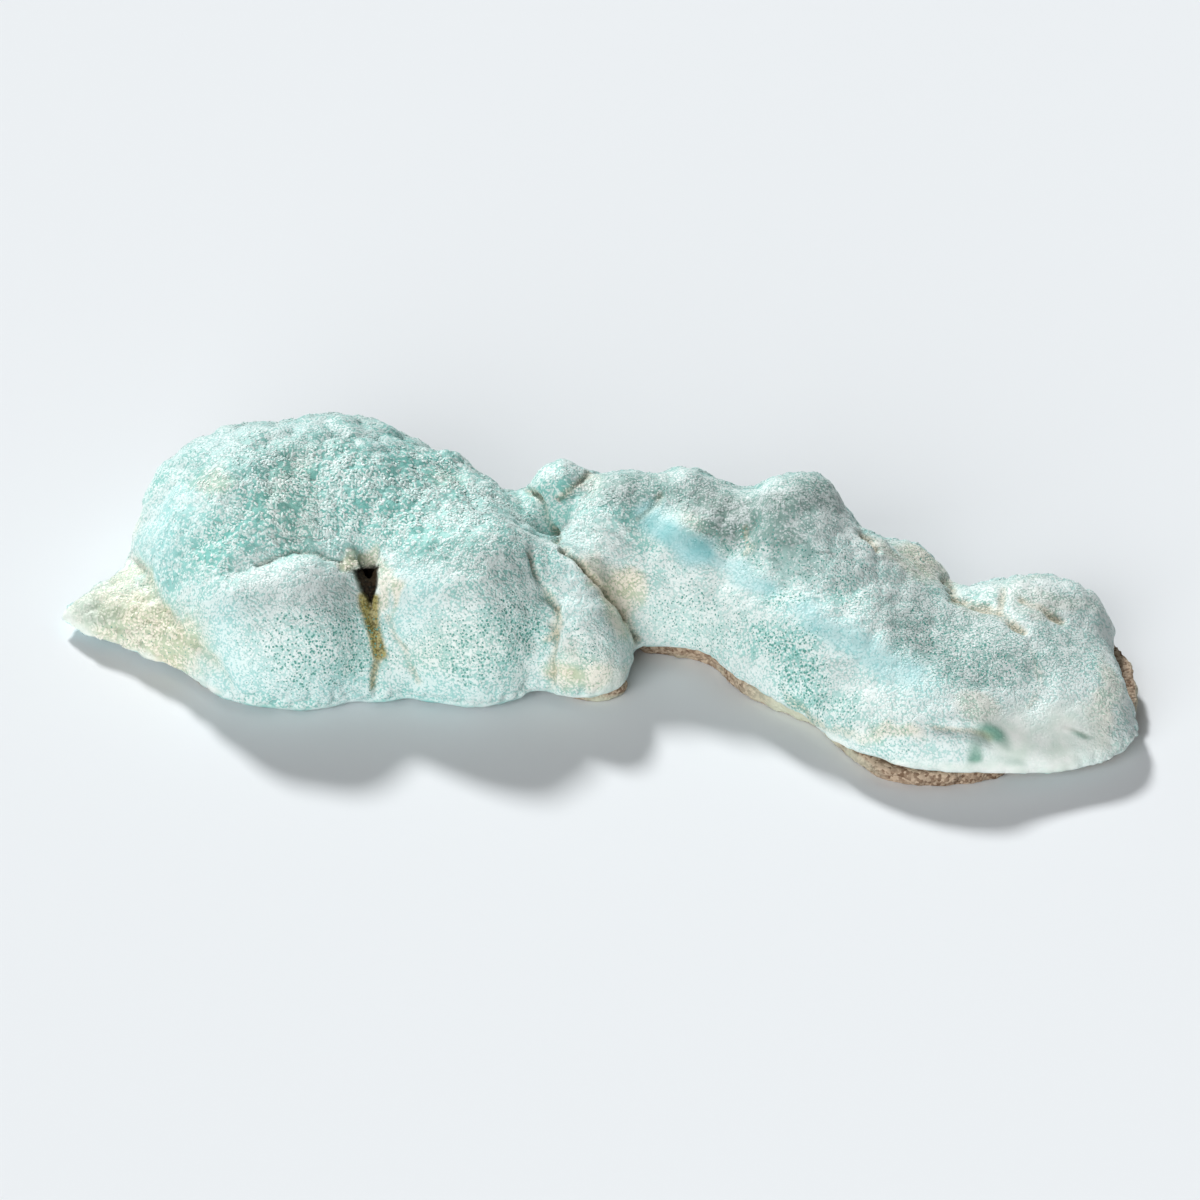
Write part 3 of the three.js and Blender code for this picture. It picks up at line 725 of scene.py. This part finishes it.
def flake_material(settings):
    """Aragonite crystal ends, grown from solution: milky flakes whose faces catch a little light."""
    material, tree = new_material("aragonite_flake")
    flake = add_node(tree, "ShaderNodeAttribute", attribute_name="flake_colour").outputs["Color"]
    ground = add_node(tree, "ShaderNodeAttribute", attribute_name="ground_colour").outputs["Color"]
    tone = add_node(tree, "ShaderNodeAttribute", attribute_name="tone").outputs["Fac"]
    colour = add_node(tree, "ShaderNodeMix", {0: tone, 6: flake, 7: ground}, data_type="RGBA")
    surface = add_node(tree, "ShaderNodeBsdfPrincipled", {
        "Base Color": colour.outputs[2], "Roughness": settings.roughness, "IOR": 1.6,
        "Specular IOR Level": 0.4})
    add_node(tree, "ShaderNodeOutputMaterial", {"Surface": surface.outputs[0]})
    return material


def rock_material(settings):
    """Iron-stained sandy host rock, broken off: dull, with pale and rusty grains and no gloss."""
    material, tree = new_material("sandy_host_rock")
    place = add_node(tree, "ShaderNodeTexCoord").outputs["Object"]
    grains = add_node(tree, "ShaderNodeTexVoronoi", {"Vector": place, "Scale": 1 / settings.grain_size})
    coated = add_node(tree, "ShaderNodeAttribute", attribute_name="coated").outputs["Fac"]
    grey_value = add_node(tree, "ShaderNodeSeparateColor", {0: grains.outputs["Color"]})
    broad = add_node(tree, "ShaderNodeTexNoise", {"Vector": place, "Scale": 1 / (7 * MM), "Detail": 4})
    tone = add_node(tree, "ShaderNodeMath", {0: grey_value.outputs[0], 1: broad.outputs[0]})
    share = add_node(tree, "ShaderNodeMapRange",
                     {"Value": tone.outputs[0], "From Min": 0.55, "From Max": 1.4})
    bare = add_node(tree, "ShaderNodeMix", {
        0: share.outputs[0], 6: (*settings.dark_colour, 1), 7: (*settings.light_colour, 1)},
        data_type="RGBA")
    colour = add_node(tree, "ShaderNodeMix", {
        0: coated, 6: bare.outputs[2], 7: (*settings.coat_colour, 1)}, data_type="RGBA")
    bump = add_node(tree, "ShaderNodeBump",
                    {"Height": grains.outputs["Distance"], "Strength": 0.7, "Distance": 0.25 * MM},
                    invert=True)
    surface = add_node(tree, "ShaderNodeBsdfPrincipled", {
        "Base Color": colour.outputs[2], "Roughness": 0.95, "Specular IOR Level": 0.2,
        "Normal": bump.outputs[0]})
    add_node(tree, "ShaderNodeOutputMaterial", {"Surface": surface.outputs[0]})
    return material


def flake_tree(name, settings, material):
    """Geometry Nodes that strew a mesh with flakes and leave only them, realized."""
    tree = bpy.data.node_groups.new(name, "GeometryNodeTree")
    for way in ("INPUT", "OUTPUT"):
        tree.interface.new_socket("Geometry", in_out=way, socket_type="NodeSocketGeometry")
    skin = add_node(tree, "NodeGroupInput").outputs[0]
    cover = add_node(tree, "GeometryNodeInputNamedAttribute", {"Name": "cover"}).outputs[0]
    porous = add_node(tree, "GeometryNodeInputNamedAttribute", {"Name": "porous"}).outputs[0]
    size = add_node(tree, "GeometryNodeInputNamedAttribute", {"Name": "flake_size"}).outputs[0]
    strewn = add_node(tree, "GeometryNodeDistributePointsOnFaces", {
        "Mesh": skin, "Distance Min": settings.spacing, "Density Max": 2.6 / settings.spacing ** 2,
        "Density Factor": cover, "Seed": settings.seed}, distribute_method="POISSON")
    place = add_node(tree, "GeometryNodeInputPosition").outputs[0]
    over_pore = pores(tree, place, porous)
    clear = add_node(tree, "GeometryNodeDeleteGeometry",
                     {"Geometry": strewn.outputs["Points"], "Selection": over_pore})
    lean = add_node(tree, "FunctionNodeRandomValue",
                    {0: (-0.35, -0.35, 0), 1: (0.35, 0.35, 2 * math.pi), "Seed": 1},
                    data_type="FLOAT_VECTOR")
    turn = add_node(tree, "FunctionNodeRotateRotation",
                    {"Rotation": strewn.outputs["Rotation"], "Rotate By": lean.outputs[0]},
                    rotation_space="LOCAL")
    ratio = add_node(tree, "FunctionNodeRandomValue",
                     {0: (0.55, 0.35, 0.15), 1: (1.05, 0.6, 0.28), "Seed": 2}, data_type="FLOAT_VECTOR")
    scale = add_node(tree, "ShaderNodeVectorMath", {0: ratio.outputs[0], 3: size}, operation="SCALE")
    blank = add_node(tree, "GeometryNodeMeshIcoSphere", {"Radius": settings.length, "Subdivisions": 1})
    placed = add_node(tree, "GeometryNodeInstanceOnPoints", {
        "Points": clear.outputs[0], "Instance": blank.outputs[0], "Rotation": turn.outputs[0],
        "Scale": scale.outputs[0]})
    tone = add_node(tree, "FunctionNodeRandomValue", {2: -0.05, 3: 0.45, "Seed": 3}, data_type="FLOAT")
    toned = add_node(tree, "GeometryNodeStoreNamedAttribute",
                     {"Geometry": placed.outputs[0], "Name": "tone", "Value": tone.outputs[1]},
                     data_type="FLOAT", domain="INSTANCE")
    real = add_node(tree, "GeometryNodeRealizeInstances", {"Geometry": toned.outputs[0]})
    finished = add_node(tree, "GeometryNodeSetMaterial",
                        {"Geometry": real.outputs[0], "Material": material})
    add_node(tree, "NodeGroupOutput", {0: finished.outputs[0]})
    return tree


def crust_mesh(settings):
    """The crust's CAD form as a close, even mesh, softened where its lobes flow into each other."""
    piece = merged_copy("aragonite_crust", "aragonite_surface")
    apply_modifier(piece, "REMESH", mode="VOXEL", voxel_size=settings.mesh_step)
    apply_modifier(piece, "SMOOTH", factor=0.5, iterations=CRUST_SMOOTHING)
    softened = strongest(photo_places(points_of(piece)), SOFTENED_PATCHES)
    soften(piece, softened * seen_share(normals_of(piece)), SOFTENING_STEPS)
    thin_out(piece, normals_of(piece)[:, 2] < UNDERSIDE_LIMIT, CRUST_KEPT)
    return piece


def crust_relief(settings, points, normals, coarse, lumpy, smooth, down):
    """How far each vertex rises by lumps, warts, granules and the ragged edge, and how hollow it lies,
    which sets the shade painted into the hollows.
    """
    lumps = packed_bumps(points, LUMP_SPACING, 1)
    warts = packed_bumps(points, WART_SPACING, 5)
    granules = packed_bumps(points, GRANULE_SPACING, 9)
    ragged = packed_bumps(points, RAGGED_SPACING, 13)
    relief = settings.lump_height * (lumps - 0.8) * lumpy * (1 - down)
    relief += settings.wart_height * (warts - 0.7) \
        * (0.2 + 0.8 * np.maximum(coarse, lumpy)) * (1 - 0.85 * smooth * (1.2 - lumpy))
    relief += settings.granule_height * (granules - 0.5) * (0.6 + 0.4 * coarse) * (1 - 0.9 * smooth)
    low_edge = ramp(points[:, 2], 7 * MM, 3 * MM) * ramp(np.abs(normals[:, 2]), 0.9, 0.5)
    relief += settings.ragged_height * (ragged - 0.75) * low_edge * (1 - 0.8 * smooth)
    return relief, ramp((1 - lumps) * 0.6 + (1 - warts) * 0.4, 0.3, 0.85)


def flake_cover(points, coarse, porous, smooth, in_pit, down):
    """How closely flakes stand at each vertex: closest where it is coarse, and none in the pit or below."""
    clustered = 0.15 + 0.85 * ramp(soft_noise(points, 2.4 * MM, 53), 0.3, 0.6)
    cover = (0.3 + 0.7 * coarse) * clustered * (1 - 0.8 * smooth) * (1 - in_pit) * (1 - down)
    return cover * (1 - 0.7 * ramp(porous, 0.5, 0.9))


class ARAGONITE_OT_crust(bpy.types.Operator):
    """Makes the skin of the crust from its CAD form: lumps, warts, granules, seams and colour zones"""
    bl_idname = "aragonite.crust"
    bl_label = "Crust"

    def execute(self, context):
        settings = context.scene.aragonite_crust
        piece = crust_mesh(settings)
        points, normals = points_of(piece), normals_of(piece)
        seen = seen_share(normals)
        on_top = ramp(normals[:, 2], 0.35, 0.9)
        down = ramp(normals[:, 2], -0.2, -0.6)
        backward = ramp(normals[:, 1], 0.1, 0.6)

        # Seams and the pit keep their places in the photo closely, painted lines less so, patches least.
        places = photo_places(points)
        near = wandering(places, points, 2.5, 2 * MM)
        near_lines = wandering(places, points, 8, 4 * MM)
        loose = wandering(wandering(places, points, 20, 8 * MM), points, 7, 2.2 * MM)

        colours = Colours(len(points))
        smooth = paint_zones(colours, points, loose, near_lines, seen, backward)
        smooth = np.clip(np.maximum(smooth, down), 0, 1)
        depth = carve_seams(colours, points, near, seen)
        in_pit = inside_corners(near, PIT_CORNERS, 1.5) * ramp(points[:, 2], 7 * MM, 9 * MM)
        # The pit is painted dark brown, in part its own colour and in part painted shade in the hollow.
        colours.paint("pit", in_pit)

        # What the photo doesn't show is coarse on top and lumpy all over.
        coarse = np.maximum(strongest(loose, COARSE_PATCHES) * seen, 0.7 * on_top * (1 - seen))
        lumpy = np.maximum(strongest(loose, LUMPY_PATCHES) * seen, 0.7 * (1 - seen))
        lumpy = 0.15 + 0.85 * np.maximum(lumpy, ramp(seen, 0.9, 0.2))
        lumpy *= 1 - 0.6 * smooth * seen
        relief, hollow = crust_relief(settings, points, normals, coarse, lumpy, smooth, down)
        into_pit = np.array(TO_CAMERA) * (PIT_DEPTH * in_pit)[:, None]
        move_points(piece, points + normals * (relief - depth)[:, None] - into_pit)
        # Painted shade in the hollows between the lumps and warts.
        colours.paint_hollow_shade(0.14 * hollow * lumpy ** 2 * (1 - down))

        porous = 0.35 + 0.25 * ramp(soft_noise(points, 9 * MM, 51), 0.4, 0.8)
        porous = np.maximum(porous, strongest(loose, PORE_PATCHES) * seen) * (1 - 0.6 * smooth)
        attributes = {
            "flake_colour": colours.flake,
            "ground_colour": colours.ground,
            "smooth": smooth,
            "coarse": coarse,
            "porous": porous,
            "cover": flake_cover(points, coarse, porous, smooth, in_pit, down),
            "flake_size": 0.5 + 0.85 * coarse,
        }
        for name, values in attributes.items():
            store(piece, name, values)

        piece.data.materials.append(crust_material(settings))
        piece.data.shade_smooth()
        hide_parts("aragonite_crust")
        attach(piece, "root")
        return {"FINISHED"}


class ARAGONITE_OT_flakes(bpy.types.Operator):
    """Strews the crust with small crystal flakes, in four pieces"""
    bl_idname = "aragonite.flakes"
    bl_label = "Flakes"

    def execute(self, context):
        settings = context.scene.aragonite_flakes
        skin = bpy.data.objects["aragonite_surface"]
        material = flake_material(context.scene.aragonite_crust)
        for name, start, end in FLAKE_PIECES:
            piece = bpy.data.objects.new(name, skin.data.copy())
            piece.data.name = name
            context.scene.collection.objects.link(piece)
            x = points_of(piece)[:, 0]
            cover = np.empty(len(x), dtype=np.float32)
            piece.data.attributes["cover"].data.foreach_get("value", cover)
            cover[(x < start) | (x >= end)] = 0
            piece.data.attributes["cover"].data.foreach_set("value", cover)
            piece.data.materials.clear()
            apply_modifier(piece, "NODES", node_group=flake_tree(name, settings, material))
            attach(piece, "root")
        return {"FINISHED"}


class ARAGONITE_OT_rock(bpy.types.Operator):
    """Makes the host rock from its CAD form, with broken, sandy sides"""
    bl_idname = "aragonite.rock"
    bl_label = "Host rock"

    def execute(self, context):
        settings = context.scene.aragonite_rock
        piece = merged_copy("host_rock", "host_rock_surface")
        apply_modifier(piece, "REMESH", mode="VOXEL", voxel_size=settings.mesh_step)
        apply_modifier(piece, "SMOOTH", factor=0.5, iterations=ROCK_SMOOTHING)
        thin_out(piece, np.abs(normals_of(piece)[:, 2]) > FLAT_LIMIT, ROCK_KEPT)
        points, normals = points_of(piece), normals_of(piece)
        side = ramp(np.abs(normals[:, 2]), 0.95, 0.6)
        relief = settings.roughness_height * (packed_bumps(points, BREAK_SPACING, 61) - 0.7)
        relief += 0.3 * settings.roughness_height * (packed_bumps(points, CHIP_SPACING, 65) - 0.7)
        moved = points + normals * (relief * side)[:, None]
        moved[:, 2] = np.maximum(moved[:, 2], 0)
        move_points(piece, moved)
        loose = wandering(photo_places(points), points, 9, 3 * MM)
        store(piece, "coated", strongest(loose, COATED_ROCK) * side)
        piece.data.materials.append(rock_material(settings))
        piece.data.shade_smooth()
        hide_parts("host_rock")
        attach(piece, "root")
        return {"FINISHED"}


def add_sun(name, azimuth, elevation, angle, strength):
    """A light far away in that direction, in degrees, where azimuth 0 is in front and 90 at the right."""
    light = bpy.data.lights.new(name, "SUN")
    light.energy = strength * math.pi
    light.angle = math.radians(angle)
    sun = bpy.data.objects.new(name, light)
    bpy.context.scene.collection.objects.link(sun)
    a, e = math.radians(azimuth), math.radians(elevation)
    towards = Vector((math.sin(a) * math.cos(e), -math.cos(a) * math.cos(e), math.sin(e)))
    sun.rotation_mode = "QUATERNION"
    sun.rotation_quaternion = towards.to_track_quat("Z", "Y")


class ARAGONITE_OT_stage(bpy.types.Operator):
    """Makes the pale floor, the soft lights and the camera"""
    bl_idname = "aragonite.stage"
    bl_label = "Stage"

    def execute(self, context):
        settings = context.scene.aragonite_stage
        deselect_all()
        bpy.ops.mesh.primitive_plane_add(size=12)
        floor = context.object
        floor.name = "floor"
        # Matt pale paper, pressed smooth: it takes soft shadows and gives no gloss.
        material, tree = new_material("pale_paper_floor")
        surface = add_node(tree, "ShaderNodeBsdfPrincipled", {
            "Base Color": (*settings.floor_colour, 1), "Roughness": 1.0, "Specular IOR Level": 0.0})
        add_node(tree, "ShaderNodeOutputMaterial", {"Surface": surface.outputs[0]})
        floor.data.materials.append(material)

        add_sun("back_light", azimuth=-160, elevation=33, angle=8, strength=settings.back_light)
        add_sun("front_light", azimuth=-25, elevation=23, angle=45, strength=settings.front_light)
        world = bpy.data.worlds.new("soft_room")
        context.scene.world = world
        world.use_nodes = True
        background = world.node_tree.nodes["Background"]
        background.inputs["Color"].default_value = (1, 1, 1, 1)
        background.inputs["Strength"].default_value = settings.ambient
        context.scene.view_settings.view_transform = "Standard"

        lens = bpy.data.cameras.new("photo_camera")
        lens.sensor_width = SENSOR_WIDTH
        lens.lens = SENSOR_WIDTH * CAMERA_DISTANCE / (PIXEL * PHOTO_SIZE)
        lens.clip_start, lens.clip_end = 0.01, 20
        camera = bpy.data.objects.new("photo_camera", lens)
        context.scene.collection.objects.link(camera)
        camera.location = AIM + TO_CAMERA * CAMERA_DISTANCE
        camera.rotation_mode = "QUATERNION"
        camera.rotation_quaternion = (-TO_CAMERA).to_track_quat("-Z", "Y")
        context.scene.camera = camera
        return {"FINISHED"}


class ARAGONITE_PT_panel(bpy.types.Panel):
    """Lists the specimen's operators and settings"""
    bl_idname = "ARAGONITE_PT_panel"
    bl_label = "Aragonite"
    bl_space_type = "VIEW_3D"
    bl_region_type = "UI"
    bl_category = "Aragonite"

    def draw(self, context):
        for group, operator in STEPS:
            box = self.layout.box()
            settings = getattr(context.scene, group)
            for name in settings.bl_rna.properties.keys():
                if name not in ("name", "rna_type"):
                    box.prop(settings, name)
            box.operator(operator)


STEPS = [
    ("aragonite_stage", "aragonite.stage"),
    ("aragonite_crust", "aragonite.crust"),
    ("aragonite_flakes", "aragonite.flakes"),
    ("aragonite_rock", "aragonite.rock"),
]
SETTINGS = {
    "aragonite_crust": CrustSettings,
    "aragonite_flakes": FlakeSettings,
    "aragonite_rock": RockSettings,
    "aragonite_stage": StageSettings,
}
CLASSES = [
    *SETTINGS.values(), ARAGONITE_OT_crust, ARAGONITE_OT_flakes, ARAGONITE_OT_rock, ARAGONITE_OT_stage,
    ARAGONITE_PT_panel,
]


def register():
    for cls in CLASSES:
        bpy.utils.register_class(cls)
    for name, group in SETTINGS.items():
        setattr(bpy.types.Scene, name, PointerProperty(type=group))


def unregister():
    for name in SETTINGS:
        delattr(bpy.types.Scene, name)
    for cls in reversed(CLASSES):
        bpy.utils.unregister_class(cls)


def main():
    register()
    for _, operator in STEPS:
        area, name = operator.split(".")
        getattr(getattr(bpy.ops, area), name)()


if __name__ == "__main__":
    main()
